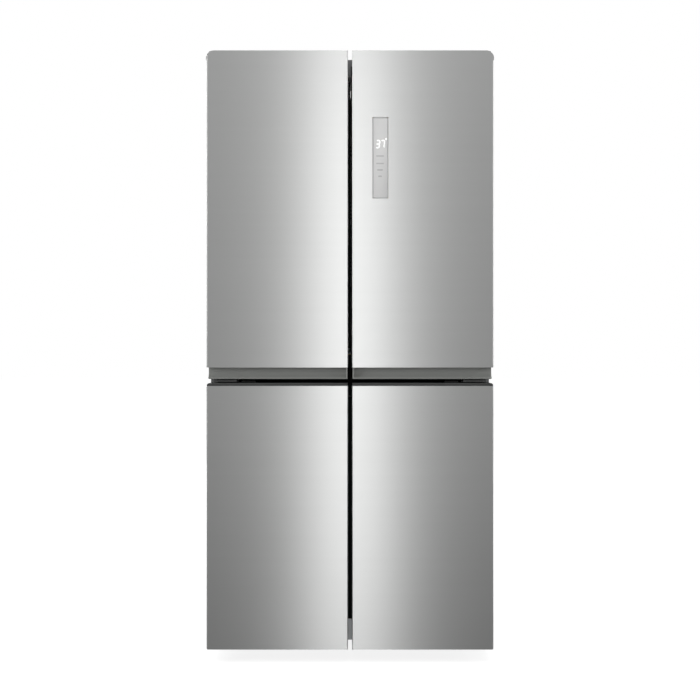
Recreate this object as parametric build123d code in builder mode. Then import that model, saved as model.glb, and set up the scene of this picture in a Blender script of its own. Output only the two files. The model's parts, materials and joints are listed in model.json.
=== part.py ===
from build123d import *
import os

os.makedirs("parts", exist_ok=True)

# A four-door bottom-freezer refrigerator, in millimetres: x to the right, y to the back, z up.
# The origin is on the floor, under the middle of the object. The doors face -y.

# Overall sizes
width = 794
depth = 700
door_front = -depth / 2
back = depth / 2

# Door heights, from the floor
lower_door_low = 38
lower_steel_high = 767
lower_door_high = 775
upper_door_low = 786
upper_steel_low = 818
upper_door_high = 1695

# Doors
door_gap = 11.5
door_inner = door_gap / 2
door_outer = width / 2
door_thickness = 72
liner_sheet = 2
door_back = door_front + door_thickness
shell_back = door_back - liner_sheet - 0.3
door_sheet = 1.2
door_edge_radius = 2.5
top_corner_radius = 20
small_corner_radius = 4
inner_corner_radius = 2
cap_bulge = 1.6
cap_height = 26
handle_cap_height = 54
lower_handle_height = 32

# Hinges
hinge_x = 375
hinge_y = -320
pin_radius = 5
pin_clearance = 0.4
plate_thickness = 5
top_plate_high = upper_door_high + 4.2
top_cover_high = 1706
top_cover_corner = 30

# Gaskets
gasket_thickness = 11.7
gasket_width = 16
gasket_inset = 4
gasket_back = door_back + gasket_thickness

# Cabinet
cabinet_half = 395
cabinet_low = 43
cabinet_high = 1691
cabinet_front = gasket_back + 0.3
cabinet_back = back - 5
cabinet_sheet = 1.2
cabinet_fold_radius = 2  # less than the sheet can cover, so that the fold stays closed
flange_inner = 365
liner_half = 350
liner_back = 270
fridge_low = 855
fridge_high = 1645
freezer_low = 103
freezer_high = 735
hump_front = 100
hump_high = 343
machine_front = 125
machine_high = 318
partition_half = 16
evaporator_cover_front = 213

# Shelves, bins and drawers
shelf_front = -140
shelf_back = 240
shelf_thickness = 5
shelf_rail_inner = 338
shelf_heights = (1056, 1240, 1430)
bin_heights = (888, 1135, 1385)
bin_tall = 90
bin_back = -188
drawer_wall = 3
drawer_outer = 317
crisper_inner = 8
crisper_front = -150
crisper_z = (868, 1038)
freezer_drawer_inner = 46
freezer_drawer_front = -195
upper_drawer_z = (352, 556)
lower_drawer_z = (112, 338)
rail_tall = 5
drawer_rails = (
    lower_drawer_z[0] - rail_tall - 0.3,
    upper_drawer_z[0] - rail_tall - 0.3,
    upper_drawer_z[1] + 2,
)

# Raised rims of the door liners
rim_inner = 50
rim_wide = 20
rim_radius = 12
rim_lip = 6
fridge_rim_outer = 345
freezer_rim_outer = 330
fridge_rim_back = -220
freezer_rim_back = -248

# Control panel in the right upper door
panel_x = 84
panel_width = 43
panel_height = 224
panel_low = upper_door_high - 185 - panel_height
panel_depth = 14

# Handles
handle_start = door_inner + 5
handle_end = door_outer
trough_start = 30
trough_end = 335
door_stop_x = (267, 304)

# Cut-away over the bottom hinge plate
notch_inner = 340
notch_high = 47

# Folding flap between the upper doors, hinged on the left door
flap_x = -33
flap_y = -256
flap_radius = 9.7
flap_low = 872
flap_high = 1628
flap_arm = 6

# Feet and rollers
foot_x = 300
foot_y = -185
roller_y = 295
roller_radius = 21.5


def save(built, label):
    """Name a finished piece and write its STEP file."""
    built.part.label = label
    export_step(built.part, f"parts/{label}.step")


def block(x, y, z, mode=Mode.ADD):
    """Put a box between two values on each axis into the part that is being built."""
    with Locations(((x[0] + x[1]) / 2, (y[0] + y[1]) / 2, (z[0] + z[1]) / 2)):
        Box(abs(x[1] - x[0]), abs(y[1] - y[0]), abs(z[1] - z[0]), mode=mode)


def upright(x, y, z, radius, mode=Mode.ADD):
    """Put a vertical cylinder between two heights into the part that is being built."""
    with Locations((x, y, (z[0] + z[1]) / 2)):
        Cylinder(radius, z[1] - z[0], mode=mode)


def span(side, low, high):
    """The x range of something that lies this far from the middle, on the left or the right."""
    return tuple(sorted((side * low, side * high)))


def outer_corner(outline, side, top):
    """The corner of a door outline that is away from the middle."""
    column = outline.vertices().group_by(Axis.X)[-1 if side > 0 else 0]
    return column.sort_by(Axis.Y)[-1 if top else 0]


def door_outline(side, inner, outer, low, high, top_radius, bottom_radius):
    """Front view of a door piece, with its two outer corners rounded."""
    with BuildSketch(Plane.XZ.offset(-door_front)) as outline:
        with Locations((side * (inner + outer) / 2, (low + high) / 2)):
            Rectangle(outer - inner, high - low)
        fillet(outer_corner(outline, side, True), top_radius)
        fillet(outer_corner(outline, side, False), bottom_radius)
    return outline.sketch


def make_skin(name, side, low, high, cap_low, cap_high, upper):
    """Folded steel: a front sheet with two side flanges, open at the top and the bottom."""
    outline = door_outline(
        side, door_inner, door_outer, low, high,
        top_corner_radius if upper else inner_corner_radius,
        inner_corner_radius if upper else small_corner_radius,
    )
    x = side * (door_inner + door_outer) / 2
    wide = door_outer - door_inner
    deep = shell_back - door_front
    with BuildPart() as skin:
        with BuildSketch(Plane.XY.offset(low)) as section:
            with Locations((x, door_front + deep / 2)):
                Rectangle(wide, deep)
            fillet(section.vertices().group_by(Axis.Y)[0], door_edge_radius)
            offset(amount=-door_sheet, mode=Mode.SUBTRACT)
            with Locations((x, shell_back)):
                Rectangle(wide - 2 * door_sheet, 3 * door_sheet, mode=Mode.SUBTRACT)
        extrude(amount=high - low)
        extrude(outline, amount=-door_thickness, mode=Mode.INTERSECT)
        x_range = span(side, door_inner - 1, door_outer + 1)
        y_range = (door_front + door_edge_radius, shell_back + 1)
        if cap_high:
            block(x_range, y_range, (cap_high, high + 1), Mode.SUBTRACT)
        if cap_low:
            block(x_range, y_range, (low - 1, cap_low), Mode.SUBTRACT)
        if not upper:
            block(
                span(side, notch_inner, width),
                (door_front + door_edge_radius + 3, back),
                (0, notch_high),
                Mode.SUBTRACT,
            )
        if upper and side > 0:
            block(*panel_opening(0.3), Mode.SUBTRACT)
    save(skin, f"{name}_skin")


def panel_opening(margin):
    """The x, y and z ranges of the hole for the control panel, with a margin around it."""
    return (
        (panel_x - panel_width / 2 - margin, panel_x + panel_width / 2 + margin),
        (door_front - 1, door_front + panel_depth + margin),
        (panel_low - margin, panel_low + panel_height + margin),
    )


def make_foam(name, side, low, high, upper):
    """Foamed core of a door, just inside its skin."""
    with BuildPart() as foam:
        block(
            span(side, door_inner + 1.5, door_outer - 1.5),
            (door_front + 1.5, shell_back),
            (low, high),
        )
        uprights = foam.edges().filter_by(Axis.Z).group_by(Axis.Y)[0]
        fillet(uprights, door_edge_radius - 0.8)
        if upper and side > 0:
            block(*panel_opening(0.6), Mode.SUBTRACT)
    save(foam, f"{name}_foam")


def make_liner(name, side, low, high, rim_low, rim_high, rim_outer, rim_back, upper):
    """Inner panel of a door: a back sheet and a raised rim that holds the bins."""
    with BuildPart() as liner:
        block(
            span(side, door_inner + 1.5, door_outer - 1.5),
            (door_back - liner_sheet, door_back),
            (low + 1.5, high - 1.5),
        )
        block(span(side, rim_inner, rim_outer), (door_back, rim_back), (rim_low, rim_high))
        fillet(liner.edges().filter_by(Axis.Y).group_by(Axis.Y)[-1], rim_radius)
        fillet(liner.faces().sort_by(Axis.Y)[-1].edges(), rim_lip)
        block(
            span(side, rim_inner + rim_wide, rim_outer - rim_wide),
            (door_back + 0.5, rim_back + 1),
            (rim_low + rim_wide, rim_high - rim_wide),
            Mode.SUBTRACT,
        )
        if upper:
            for height in bin_heights:
                for x in (rim_inner + rim_wide, rim_outer - rim_wide):
                    block(
                        span(side, x - 2, x + 2),
                        (rim_back - 36, rim_back - 6),
                        (height + bin_tall + 3, height + bin_tall + 9),
                    )
        if upper and side < 0:
            for z in (flap_low - flap_arm - 1, flap_high + 1):
                block((flap_x - 5, flap_x + 5), (door_back, flap_y + 5), (z, z + flap_arm))
                pin = (z, z + flap_arm + 7) if z < flap_low else (z - 7, z + flap_arm)
                upright(flap_x, flap_y, pin, 3)
    save(liner, f"{name}_liner")


def make_gasket(name, side, low, high, lip):
    """Magnetic seal: a ring around the back of a door, grooved along its hinge side."""
    inner = door_inner + gasket_inset - lip
    outer = hinge_x - gasket_inset
    with BuildPart() as gasket:
        block(span(side, inner, outer), (door_back, gasket_back), (low, high))
        block(
            span(side, door_inner + gasket_inset + gasket_width, outer - gasket_width),
            (door_back - 1, gasket_back + 1),
            (low + gasket_width, high - gasket_width),
            Mode.SUBTRACT,
        )
        if lip:
            block(
                span(side, inner - 1, door_inner + gasket_inset),
                (door_back - 1, gasket_back - 4),
                (low - 1, high + 1),
                Mode.SUBTRACT,
            )
        middle = gasket_back - 6
        block(
            span(side, outer - 1.5, outer + 1),
            (middle - 1.5, middle + 1.5),
            (low - 1, high + 1),
            Mode.SUBTRACT,
        )
    save(gasket, f"{name}_gasket")


def make_top_cap(name, side):
    """Plastic cap behind the steel at the top of an upper door, with the socket of the pin."""
    low = upper_door_high - cap_height
    outline = door_outline(
        side, door_inner + 0.4, door_outer + cap_bulge, low, upper_door_high - 0.3,
        top_corner_radius, 1,
    )
    with BuildPart() as cap:
        extrude(outline, amount=-(shell_back - door_front))
        block(
            span(side, 0, width),
            (door_front - 1, door_front + door_edge_radius + 0.3),
            (low - 1, upper_door_high + 1),
            Mode.SUBTRACT,
        )
        upright(
            side * hinge_x, hinge_y, (upper_door_high - 17, upper_door_high + 1),
            pin_radius + pin_clearance, Mode.SUBTRACT,
        )
    save(cap, f"{name}_end_cap")


def make_bottom_cap(name, side):
    """Plastic cap at the foot of a lower door, cut away over the bottom hinge plate."""
    low = lower_door_low + 0.3
    high = lower_door_low + cap_height + 6
    with BuildPart() as cap:
        block(
            span(side, door_inner + door_sheet + 0.3, door_outer - door_sheet - 0.3),
            (door_front + door_sheet + 0.3, shell_back),
            (low, high),
        )
        uprights = cap.edges().filter_by(Axis.Z).group_by(Axis.Y)[0]
        fillet(uprights, door_edge_radius - door_sheet)
        block(
            span(side, notch_inner, width),
            (door_front - 1, back),
            (0, notch_high),
            Mode.SUBTRACT,
        )
        upright(
            side * hinge_x, hinge_y, (notch_high - 1, high - 4),
            pin_radius + pin_clearance, Mode.SUBTRACT,
        )
    save(cap, f"{name}_end_cap")


def make_upper_handle(name, side):
    """Bottom cap of an upper door: a finger groove along it runs up behind the steel."""
    low = upper_door_low
    high = low + handle_cap_height
    inset = 3
    step = upper_steel_low
    wall = door_front + 20
    with BuildPart() as handle:
        block(
            span(side, door_inner + door_sheet + 0.3, door_outer - inset),
            (door_front + 3, shell_back),
            (low, high),
        )
        block(
            span(side, door_outer - inset - 1, width),
            (door_front - 1, back),
            (low - 1, step - 0.4),
            Mode.SUBTRACT,
        )
        bottom_corner = handle.edges().filter_by(Axis.Y).group_by(Axis.Z)[0]
        fillet(bottom_corner.sort_by(Axis.X)[-1 if side > 0 else 0], small_corner_radius)
        fillet(handle.edges().filter_by(Axis.X).group_by(Axis.Z)[0].sort_by(Axis.Y)[0], 2.5)
        with BuildSketch(Plane.YZ.offset(min(side * handle_start, side * handle_end))):
            with BuildLine():
                Line((door_front - 2, low + 3.5), (door_front + 6, low + 3.5))
                RadiusArc((door_front + 6, low + 3.5), (wall, low + 18), -16)
                Line((wall, low + 18), (wall, low + 40))
                RadiusArc((wall, low + 40), (wall - 6, low + 46), -6)
                Line((wall - 6, low + 46), (door_front + 8, low + 46))
                RadiusArc((door_front + 8, low + 46), (door_front + 5, low + 43), -3)
                Line((door_front + 5, low + 43), (door_front + 5, step))
                Line((door_front + 5, step), (door_front - 2, step))
                Line((door_front - 2, step), (door_front - 2, low + 3.5))
            make_face()
        extrude(amount=handle_end - handle_start, mode=Mode.SUBTRACT)
        upright(
            side * hinge_x, hinge_y, (low - 1, low + 18),
            pin_radius + pin_clearance, Mode.SUBTRACT,
        )
    save(handle, f"{name}_handle_cap")


def make_lower_handle(name, side):
    """Top cap of a lower door: a bevelled front edge with a finger trough behind it."""
    low = lower_door_high - lower_handle_height
    high = lower_door_high
    trough_y = (door_front + 15, door_front + 45)
    with BuildPart() as handle:
        block(
            span(side, door_inner + door_sheet + 0.3, door_outer - door_sheet - 0.3),
            (door_front + door_sheet + 0.3, shell_back),
            (low, high),
        )
        uprights = handle.edges().filter_by(Axis.Z).group_by(Axis.Y)[0]
        fillet(uprights, door_edge_radius - door_sheet)
        block(
            span(side, door_inner + 0.6, door_outer - 0.4),
            (door_front + 0.5, shell_back),
            (lower_steel_high + 0.3, high),
        )
        outer_top = handle.edges().filter_by(Axis.Y).group_by(Axis.Z)[-1]
        fillet(outer_top.sort_by(Axis.X)[-1 if side > 0 else 0], 7)
        fillet(handle.edges().filter_by(Axis.X).group_by(Axis.Z)[-1].sort_by(Axis.Y)[0], 3)
        block(
            span(side, trough_start, trough_end),
            trough_y,
            (high - 22, high + 1),
            Mode.SUBTRACT,
        )
        block(span(side, *door_stop_x), (-302, -285), (high - 1, high + 5))
        upright(
            side * hinge_x, hinge_y, (high - 18, high + 1),
            pin_radius + pin_clearance, Mode.SUBTRACT,
        )
    save(handle, f"{name}_handle_cap")


def make_bins(name, side):
    """Three clear bins that hang inside the rim of an upper door."""
    inner = rim_inner + rim_wide + 1
    outer = fridge_rim_outer - rim_wide - 1
    with BuildPart() as bins:
        for low in bin_heights:
            block(span(side, inner, outer), (door_back + 2, bin_back), (low, low + bin_tall))
            corners = bins.edges().filter_by(Axis.Z).group_by(Axis.Y)[-1]
            corners = corners.filter_by_position(Axis.Z, low, low + bin_tall)
            fillet(corners, 14)
            block(
                span(side, inner + drawer_wall, outer - drawer_wall),
                (door_back + 2 + drawer_wall, bin_back - drawer_wall),
                (low + drawer_wall, low + bin_tall + 1),
                Mode.SUBTRACT,
            )
    save(bins, name)


def make_drawer(name, x, y, z, grip_width):
    """An open drawer: thin walls, a deeper front wall and a finger grip in the front."""
    front_wall = 16
    middle = (x[0] + x[1]) / 2
    with BuildPart() as drawer:
        block(x, y, z)
        fillet(drawer.edges().filter_by(Axis.Z).group_by(Axis.Y)[0], 6)
        block(
            (x[0] + drawer_wall, x[1] - drawer_wall),
            (y[0] + front_wall, y[1] - drawer_wall),
            (z[0] + drawer_wall, z[1] + 1),
            Mode.SUBTRACT,
        )
        block(
            (middle - grip_width / 2, middle + grip_width / 2),
            (y[0] - 1, y[0] + 11),
            (z[1] - 34, z[1] - 8),
            Mode.SUBTRACT,
        )
    save(drawer, name)


upper_foam = (upper_door_low + handle_cap_height + 0.5, upper_door_high - cap_height - 0.5)
lower_foam = (
    lower_door_low + cap_height + 6.5,
    lower_door_high - lower_handle_height - 0.5,
)

for side_name, side in (("left", -1), ("right", 1)):
    upper = f"{side_name}_upper_door"
    make_skin(
        upper, side, upper_steel_low, upper_door_high,
        0, upper_door_high - cap_height - 0.3, True,
    )
    make_foam(upper, side, *upper_foam, True)
    make_liner(
        upper, side, upper_door_low + 4, upper_door_high, fridge_low + 10,
        fridge_high - 12, fridge_rim_outer, fridge_rim_back, True,
    )
    make_gasket(upper, side, fridge_low - 29, fridge_high + 33, 7.1 if side > 0 else 0)
    make_top_cap(upper, side)
    make_upper_handle(upper, side)
    make_bins(f"{side_name}_door_bins", side)

    lower = f"{side_name}_lower_door"
    make_skin(lower, side, lower_door_low, lower_steel_high, 0, 0, False)
    make_foam(lower, side, *lower_foam, False)
    make_liner(
        lower, side, notch_high, lower_door_high - 2, freezer_low + 12,
        freezer_high - 12, freezer_rim_outer, freezer_rim_back, False,
    )
    make_gasket(lower, side, freezer_low - 43, freezer_high + 26, 0)
    make_bottom_cap(lower, side)
    make_lower_handle(lower, side)

    make_drawer(
        f"{side_name}_crisper", span(side, crisper_inner, drawer_outer),
        (crisper_front, 200), crisper_z, 170,
    )
    make_drawer(
        f"{side_name}_freezer_drawer_upper",
        span(side, freezer_drawer_inner, drawer_outer),
        (freezer_drawer_front, 200), upper_drawer_z, 150,
    )
    make_drawer(
        f"{side_name}_freezer_drawer_lower",
        span(side, freezer_drawer_inner, drawer_outer),
        (freezer_drawer_front, 90), lower_drawer_z, 150,
    )

# Control panel and its circuit board
with BuildPart() as control_panel:
    block(
        (panel_x - panel_width / 2, panel_x + panel_width / 2),
        (door_front, door_front + 3),
        (panel_low, panel_low + panel_height),
    )
    fillet(control_panel.edges().filter_by(Axis.Y), 3)
    rear_face = (panel_x - panel_width / 2 + 2, panel_x + panel_width / 2 - 2)
    block(
        rear_face,
        (door_front + 3, door_front + panel_depth),
        (panel_low + 2, panel_low + panel_height - 2),
    )
    block(
        (rear_face[0] + 2, rear_face[1] - 2),
        (door_front + 3, door_front + panel_depth + 1),
        (panel_low + 4, panel_low + panel_height - 4),
        Mode.SUBTRACT,
    )
save(control_panel, "control_panel")

with BuildPart() as control_board:
    block(
        (panel_x - 15, panel_x + 15),
        (door_front + 6, door_front + 7.6),
        (panel_low + 10, panel_low + panel_height - 10),
    )
    with Locations((panel_x, door_front + 4.6, panel_low + 178)):
        Box(24, 2.8, 18)
    with Locations((panel_x, door_front + 9.6, panel_low + 60)):
        Box(14, 4, 20)
save(control_board, "control_board")

# Folding flap: a bar with a round nose about its pivot and a slanted free edge
with BuildPart() as flap:
    with BuildSketch(Plane.XY.offset(flap_low)):
        with BuildLine():
            nose_front = (flap_x, flap_y - flap_radius)
            nose_back = (flap_x, flap_y + flap_radius)
            Line(nose_front, (0.9, flap_y - flap_radius))
            Line((0.9, flap_y - flap_radius), (-2.6, flap_y + flap_radius))
            Line((-2.6, flap_y + flap_radius), nose_back)
            ThreePointArc(nose_back, (flap_x - flap_radius, flap_y), nose_front)
        make_face()
    extrude(amount=flap_high - flap_low)
    for z in (flap_low + 4, flap_high - 4):
        upright(flap_x, flap_y, (z - 5, z + 5), 3.4, Mode.SUBTRACT)
save(flap, "mullion_flap")

# Cabinet: folded steel wrapper, open at the front, the back and the bottom
with BuildPart() as wrapper:
    with BuildSketch(Plane.XZ.offset(-cabinet_front)) as wrapper_outline:
        with Locations((0, (cabinet_low + cabinet_high) / 2)):
            Rectangle(2 * cabinet_half, cabinet_high - cabinet_low)
        fillet(wrapper_outline.vertices().group_by(Axis.Y)[-1], cabinet_fold_radius)
    extrude(amount=-(cabinet_back - cabinet_front))
    block(
        (-cabinet_half + cabinet_sheet, cabinet_half - cabinet_sheet),
        (cabinet_front + cabinet_sheet, cabinet_back + 1),
        (0, cabinet_high - cabinet_sheet),
        Mode.SUBTRACT,
    )
    block(
        (-flange_inner, flange_inner),
        (cabinet_front - 1, cabinet_front + 5),
        (0, fridge_high + 0.5),
        Mode.SUBTRACT,
    )
save(wrapper, "outer_wrapper")

with BuildPart() as back_panel:
    block(
        (-cabinet_half + 1.4, cabinet_half - 1.4),
        (cabinet_back - 1.2, cabinet_back),
        (machine_high + 8, cabinet_high - 1.4),
    )
    for x in (-260, 0, 260):
        block(
            (x - 70, x + 70),
            (cabinet_back, cabinet_back + 2.4),
            (machine_high + 90, 1600),
        )
save(back_panel, "back_panel")

# Base: pressed floor with a front flange, bosses for the feet and ears for the roller axle
with BuildPart() as base_deck:
    block((-393, 393), (cabinet_front + 1.6, cabinet_back - 2), (cabinet_low, cabinet_low + 2))
    block(
        (-flange_inner + 0.5, flange_inner - 0.5),
        (cabinet_front, cabinet_front + 1.5),
        (cabinet_low, freezer_low - 0.5),
    )
    block(
        (-flange_inner + 0.5, flange_inner - 0.5),
        (cabinet_front, cabinet_front + 4),
        (cabinet_low, cabinet_low + 2),
    )
    for x in (-foot_x, foot_x):
        upright(x, foot_y, (cabinet_low - 12, cabinet_low), 14)
        upright(x, foot_y, (cabinet_low - 13, cabinet_low + 3), 5.3, Mode.SUBTRACT)
        for ear in (x - 18, x + 15):
            block((ear, ear + 3), (roller_y - 15, roller_y + 15), (10, cabinet_low))
    for x in (-foot_x, foot_x):
        with Locations(Plane(origin=(x, roller_y, roller_radius), z_dir=(1, 0, 0))):
            Cylinder(4.4, 40, mode=Mode.SUBTRACT)
save(base_deck, "base_deck")

# Liners: vacuum-formed boxes that line the two compartments
with BuildPart() as fridge_liner:
    block(
        (-liner_half, liner_half), (cabinet_front + 1.5, liner_back), (fridge_low, fridge_high)
    )
    block(
        (-flange_inner + 0.5, flange_inner - 0.5),
        (cabinet_front, cabinet_front + 3),
        (fridge_low, fridge_high),
    )
    block(
        (-liner_half + liner_sheet, liner_half - liner_sheet),
        (cabinet_front - 1, liner_back - liner_sheet),
        (fridge_low + liner_sheet, fridge_high - liner_sheet),
        Mode.SUBTRACT,
    )
    for z in shelf_heights:
        for side in (-1, 1):
            block(
                span(side, shelf_rail_inner, liner_half),
                (shelf_front + 6, shelf_back),
                (z - 8, z - 0.5),
            )
save(fridge_liner, "fridge_liner")

with BuildPart() as freezer_liner:
    block(
        (-liner_half, liner_half),
        (cabinet_front + 1.5, liner_back),
        (freezer_low, freezer_high),
    )
    block(
        (-flange_inner + 0.5, flange_inner - 0.5),
        (cabinet_front, cabinet_front + 3),
        (freezer_low, freezer_high),
    )
    block((-400, 400), (hump_front, 400), (0, hump_high), Mode.SUBTRACT)
    for side in (-1, 1):
        block(
            span(side, partition_half, liner_half - liner_sheet),
            (cabinet_front - 1, hump_front - liner_sheet),
            (freezer_low + liner_sheet, freezer_high - liner_sheet),
            Mode.SUBTRACT,
        )
        block(
            span(side, partition_half, liner_half - liner_sheet),
            (hump_front - 3, liner_back - liner_sheet),
            (hump_high + liner_sheet, freezer_high - liner_sheet),
            Mode.SUBTRACT,
        )
    block(
        (-partition_half - 1, partition_half + 1),
        (evaporator_cover_front, liner_back - liner_sheet),
        (hump_high + liner_sheet, freezer_high - liner_sheet),
        Mode.SUBTRACT,
    )
    block(
        (-partition_half + 2, partition_half - 2),
        (-246, hump_front - liner_sheet),
        (freezer_low + liner_sheet, freezer_high - liner_sheet),
        Mode.SUBTRACT,
    )
    block(
        (-partition_half + 2, partition_half - 2),
        (hump_front - 3, evaporator_cover_front - 2),
        (hump_high + liner_sheet, freezer_high - liner_sheet),
        Mode.SUBTRACT,
    )
    block((-40.5, 40.5), (cabinet_front - 1, -249), (freezer_low - 1, 800), Mode.SUBTRACT)
    for side in (-1, 1):
        for z in drawer_rails:
            block(span(side, drawer_outer - 9, liner_half - 1), (-180, 90), (z, z + rail_tall))
            block(
                span(side, partition_half - 1, freezer_drawer_inner + 9),
                (-180, 90),
                (z, z + rail_tall),
            )
save(freezer_liner, "freezer_liner")

# Foamed insulation, as the slabs that fill the walls
foam_slabs = (
    ((-393.5, -350.3), (-262, 342), (47, 1689.5)),
    ((350.3, 393.5), (-262, 342), (47, 1689.5)),
    ((-350, 350), (-262, 342), (fridge_high + 0.3, 1689.5)),
    ((-350, 350), (liner_back + 0.3, 342), (fridge_low, fridge_high)),
    ((-350, 350), (-262, 342), (freezer_high + 0.3, fridge_low - 0.3)),
    ((-350, 350), (liner_back + 0.3, 342), (hump_high, freezer_high)),
    ((-350, 350), (machine_front, 342), (machine_high, hump_high - 0.3)),
    ((-350, 350), (hump_front + 0.3, machine_front - 0.3), (47, hump_high - 0.3)),
    ((-350, 350), (-262, hump_front), (47, freezer_low - 0.3)),
    ((-13.7, 13.7), (-245, 97.5), (freezer_low + 2.3, freezer_high - 2.3)),
    ((-13.7, 13.7), (98, evaporator_cover_front - 2.3), (hump_high + 2.3, freezer_high - 2.3)),
)
with BuildPart() as cabinet_foam:
    for x, y, z in foam_slabs:
        block(x, y, z)
save(cabinet_foam, "cabinet_foam")

# Front rails that the gaskets close on
with BuildPart() as rails:
    block(
        (-flange_inner + 0.5, flange_inner - 0.5),
        (cabinet_front, cabinet_front + 3.7),
        (freezer_high + 0.5, fridge_low - 2),
    )
    block((-40, 40), (cabinet_front, -250), (freezer_low + 0.3, freezer_high - 0.3))
save(rails, "front_rails")

# Hinges
with BuildPart() as top_brackets:
    for side in (-1, 1):
        block(
            span(side, hinge_x - 24, hinge_x + 10),
            (hinge_y - 7, -200),
            (upper_door_high + 1.5, top_plate_high),
        )
        uprights = top_brackets.edges().filter_by(Axis.Z).group_by(Axis.Y)[0]
        fillet(uprights.sort_by(Axis.X)[-1 if side > 0 else 0], 17)
        block(
            span(side, hinge_x - 50, hinge_x + 10),
            (-256, -180),
            (cabinet_high + 0.2, top_plate_high),
        )
        upright(
            side * hinge_x, hinge_y, (upper_door_high - 15, upper_door_high + 2), pin_radius
        )
save(top_brackets, "top_hinge_brackets")

with BuildPart() as top_covers:
    for side in (-1, 1):
        with BuildSketch(Plane.YZ.offset(side * 396 if side < 0 else 316)):
            Polygon(
                (-331, upper_door_high + 0.8),
                (-331, top_plate_high + 1),
                (-288, top_cover_high),
                (-172, top_cover_high),
                (-160, top_cover_high - 6),
                (-160, cabinet_high + 0.3),
                (-262, cabinet_high + 0.3),
                (-262, upper_door_high + 0.8),
                align=None,
            )
        extrude(amount=80)
        uprights = top_covers.edges().filter_by(Axis.Z).group_by(Axis.Y)[0]
        fillet(uprights.sort_by(Axis.X)[-1 if side > 0 else 0], top_cover_corner)
    for side in (-1, 1):
        with BuildSketch(Plane.XY.offset(cabinet_high)) as cavity:
            with Locations((side * 356, -245.5)):
                Rectangle(75, 165)
            corner = cavity.vertices().group_by(Axis.Y)[0]
            fillet(corner.sort_by(Axis.X)[-1 if side > 0 else 0], top_cover_corner - 2.5)
        extrude(amount=top_plate_high + 0.3 - cabinet_high, mode=Mode.SUBTRACT)
        block(
            span(side, 318.5, 393.5),
            (-275, -180),
            (top_plate_high - 1, top_cover_high - 2),
            Mode.SUBTRACT,
        )
save(top_covers, "top_hinge_covers")

with BuildPart() as middle_brackets:
    middle_z = (lower_door_high + upper_door_low) / 2
    plate = (middle_z - plate_thickness / 2, middle_z + plate_thickness / 2)
    for side in (-1, 1):
        block(span(side, 315, 384), (hinge_y - 13, cabinet_front - 0.2), plate)
        uprights = middle_brackets.edges().filter_by(Axis.Z).group_by(Axis.Y)[0]
        fillet(uprights.sort_by(Axis.X)[-1 if side > 0 else 0], 8)
        block(
            span(side, 315, 384),
            (cabinet_front - 3.4, cabinet_front - 0.2),
            (lower_door_high - 10, upper_door_low + 36),
        )
        upright(side * hinge_x, hinge_y, (middle_z - 16, middle_z + 16), pin_radius)
save(middle_brackets, "middle_hinge_brackets")

with BuildPart() as bottom_brackets:
    for side in (-1, 1):
        block(span(side, 350, hinge_x + 6), (hinge_y - 9, -190), (38.5, 42.7))
        upright(side * hinge_x, hinge_y, (38.5, 42.7), 10)
        upright(side * hinge_x, hinge_y, (40, notch_high + 12), pin_radius)
save(bottom_brackets, "bottom_hinge_brackets")

# Feet and rollers
with BuildPart() as feet:
    for x in (-foot_x, foot_x):
        with Locations((x, foot_y, 0)):
            Cone(20, 15, 12, align=(Align.CENTER, Align.CENTER, Align.MIN))
        upright(x, foot_y, (10, 46.5), 5)
save(feet, "leveling_feet")

with BuildPart() as rollers:
    for x in (-foot_x, foot_x):
        with Locations(Plane(origin=(x, roller_y, roller_radius), z_dir=(1, 0, 0))):
            Cylinder(roller_radius, 24)
            Cylinder(9, 28)
    rims = rollers.edges().filter_by(GeomType.CIRCLE).filter_by(
        lambda edge: abs(edge.radius - roller_radius) < 0.1
    )
    fillet(rims, 3)
    with Locations(Plane(origin=(0, roller_y, roller_radius), z_dir=(1, 0, 0))):
        Cylinder(4, 2 * foot_x + 48)
save(rollers, "rear_roller_axle")

# Shelves and light in the fresh-food compartment
with BuildPart() as shelves:
    for z in shelf_heights:
        block((-344, 344), (shelf_front, shelf_back), (z, z + shelf_thickness))
save(shelves, "glass_shelves")

with BuildPart() as light:
    block((-70, 70), (-110, -40), (fridge_high - 11, fridge_high - liner_sheet - 0.3))
    fillet(light.edges().filter_by(Axis.Z), 12)
    fillet(light.faces().sort_by(Axis.Z)[0].edges(), 3)
save(light, "ceiling_light")

# Cooling circuit
with BuildPart() as evaporator_cover:
    block((-346, 346), (evaporator_cover_front, evaporator_cover_front + 3), (346, 732))
    with Locations(Plane(origin=(0, evaporator_cover_front, 690), z_dir=(0, 1, 0))):
        Cylinder(30, 20, mode=Mode.SUBTRACT)
    for side in (-1, 1):
        for row in range(5):
            z = 660 + row * 12
            block(span(side, 120, 280), (200, 230), (z, z + 5), Mode.SUBTRACT)
save(evaporator_cover, "evaporator_cover")


def serpentine(start, run, pitch, passes, radius):
    """A tube that runs back and forth along x, one pass above the other."""
    x, y, z = start
    points = []
    for row in range(passes):
        ends = (x, x + run) if row % 2 == 0 else (x + run, x)
        points += [(end, y, z + row * pitch) for end in ends]
    with BuildPart() as tube:
        with BuildLine() as path:
            FilletPolyline(*points, radius=pitch * 0.45)
        with BuildSketch(Plane(origin=start, z_dir=(1, 0, 0))):
            Circle(radius)
        sweep(path=path.wires()[0])
    return tube.part


evaporator_tube = serpentine((-260, 242, 420), 520, 30, 8, 4)
with BuildPart() as evaporator:
    add(evaporator_tube)
    for step in range(25):
        x = -240 + step * 20
        block((x, x + 1.2), (224, 260), (408, 642))
save(evaporator, "evaporator_coil")

condenser_tube = serpentine((-325, 320, 80), 250, 26, 8, 3)
with BuildPart() as condenser:
    add(condenser_tube)
    for step in range(11):
        x = -310 + step * 21
        block((x, x + 2), (316, 324), (70, 272))
save(condenser, "condenser_coil")

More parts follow.
